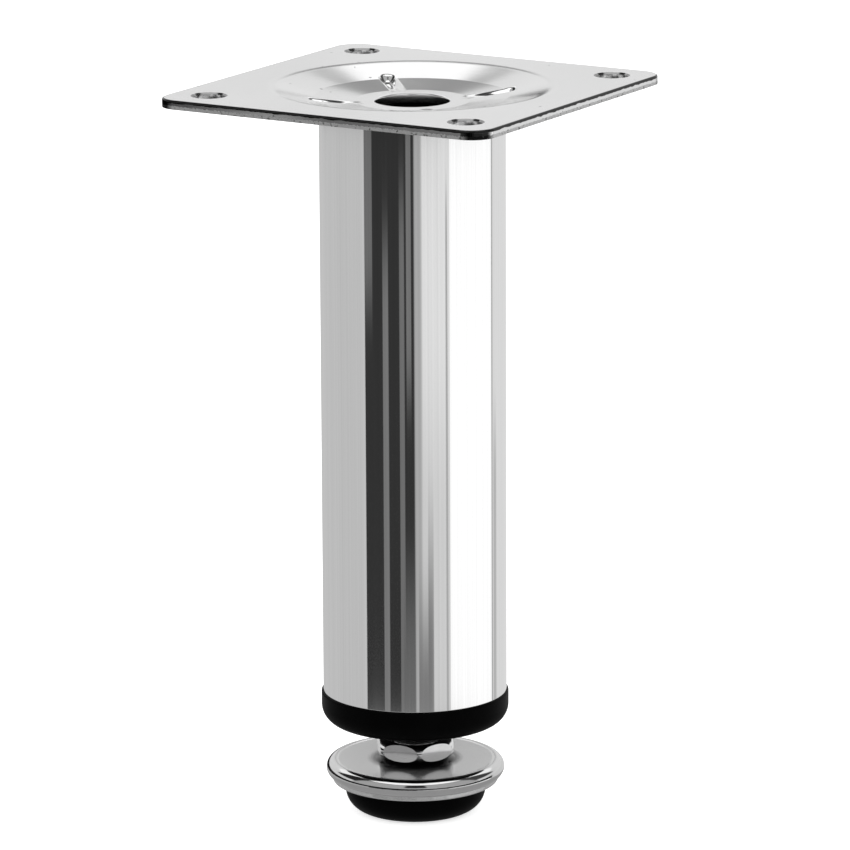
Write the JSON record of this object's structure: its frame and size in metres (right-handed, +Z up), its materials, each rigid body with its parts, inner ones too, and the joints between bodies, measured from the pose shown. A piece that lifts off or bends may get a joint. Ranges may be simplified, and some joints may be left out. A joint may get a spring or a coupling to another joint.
{
  "type": "adjustable furniture leg",
  "caption": "Round chromed furniture leg with a square screw-on top plate and a threaded levelling foot with a glide pad.",
  "frame": {"origin": "on the leg's axis, at the level of the surface that the glide pad stands on", "axes": "+Z up along the tube, towards the mounting plate; X and Y run along the sides of the square plate"},
  "size_m": [0.06, 0.06, 0.1204],
  "materials": {
    "plate_steel": "bright chromed pressing, slightly satin",
    "tube_chrome": "mirror chrome with fine drawn lines along the tube",
    "plug_plastic": "black moulded plastic, softly satin",
    "zinc_steel": "bright zinc plate",
    "screw_chrome": "chrome over turned and milled steel",
    "foot_chrome": "chrome with faint pressing marks",
    "pad_plastic": "black moulded glide, matt"
  },
  "bodies": {
    "leg": {"mounting_plate": "plate_steel", "leg_tube": "tube_chrome", "end_plug": "plug_plastic", "captive_nut": "zinc_steel"},
    "foot": {"foot_disc": "foot_chrome", "foot_pad": "pad_plastic"},
    "screw": {"adjuster_screw": "screw_chrome"}
  },
  "joints": [
    {"name": "foot_height", "type": "slide", "parent": "leg", "child": "foot", "axis": [0, 0, 1], "range_m": [-0.015, 0.0023]},
    {"name": "screw_turn", "type": "hinge", "parent": "foot", "child": "screw", "pos_m": [0, 0, 0.00905], "axis": [0, 0, 1], "range_deg": [-4321, 663]}
  ],
  "couplings": [
    {"joint": "screw_turn", "follows": "foot_height", "rad_per_m": 5026.5}
  ]
}
